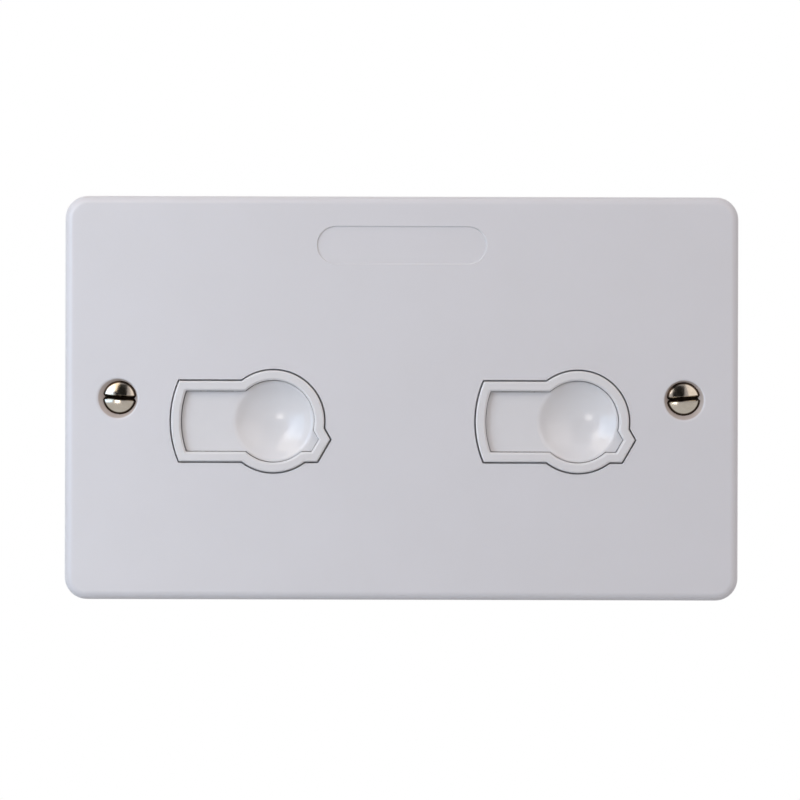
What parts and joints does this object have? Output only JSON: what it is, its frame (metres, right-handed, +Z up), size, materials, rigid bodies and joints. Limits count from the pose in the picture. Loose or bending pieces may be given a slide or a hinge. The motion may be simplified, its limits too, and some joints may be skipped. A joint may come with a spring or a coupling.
{
  "type": "twin wall socket",
  "caption": "Rounded rectangular wall plate with keyed outlets behind sprung finger-dish shutters, slotted fixing screws and rear screw terminals.",
  "frame": {"origin": "midway between the two fixing screws, on the wall plane", "axes": "+Y into the wall along the fixing screws, +X to the right as seen from the room, +Z up"},
  "size_m": [0.1446, 0.0339, 0.0868],
  "materials": {
    "plate": "satin moulded urea",
    "well": "glossy moulding",
    "shutter": "glossy moulding",
    "fixing_screw": "nickel plate, turned",
    "spring": "drawn spring wire",
    "carrier": "moulded thermoset",
    "cover": "moulded thermoset, grey",
    "cover_screw": "zinc plate",
    "terminal_screw": "nickel plate",
    "brass": "rolled strip",
    "terminal_brass": "drawn bar, sawn",
    "contact": "rolled bronze strip"
  },
  "bodies": {
    "housing": {"front_plate": "plate", "fixing_screws": "fixing_screw", "left_well": "well", "right_well": "well", "left_shutter_spring": "spring", "right_shutter_spring": "spring", "contact_carrier": "carrier", "left_live_contact": "contact", "left_neutral_contact": "contact", "left_earth_contact": "contact", "right_live_contact": "contact", "right_neutral_contact": "contact", "right_earth_contact": "contact", "live_bar": "brass", "neutral_bar": "brass", "earth_strap": "brass", "live_terminal": "terminal_brass", "neutral_terminal": "terminal_brass", "left_earth_terminal": "terminal_brass", "right_earth_terminal": "terminal_brass", "terminal_screws": "terminal_screw", "rear_cover": "cover", "cover_screws": "cover_screw"},
    "left_shutter": {"left_shutter": "shutter"},
    "right_shutter": {"right_shutter": "shutter"}
  },
  "joints": [
    {"name": "left_shutter_slide", "type": "slide", "parent": "housing", "child": "left_shutter", "axis": [0, 1, 0], "range_m": [0, 0.0065], "stiffness_N_per_m": 380, "springref_m": -0.001, "deforming": ["left_shutter_spring"]},
    {"name": "right_shutter_slide", "type": "slide", "parent": "housing", "child": "right_shutter", "axis": [0, 1, 0], "range_m": [0, 0.0065], "stiffness_N_per_m": 380, "springref_m": -0.001, "deforming": ["right_shutter_spring"]}
  ]
}
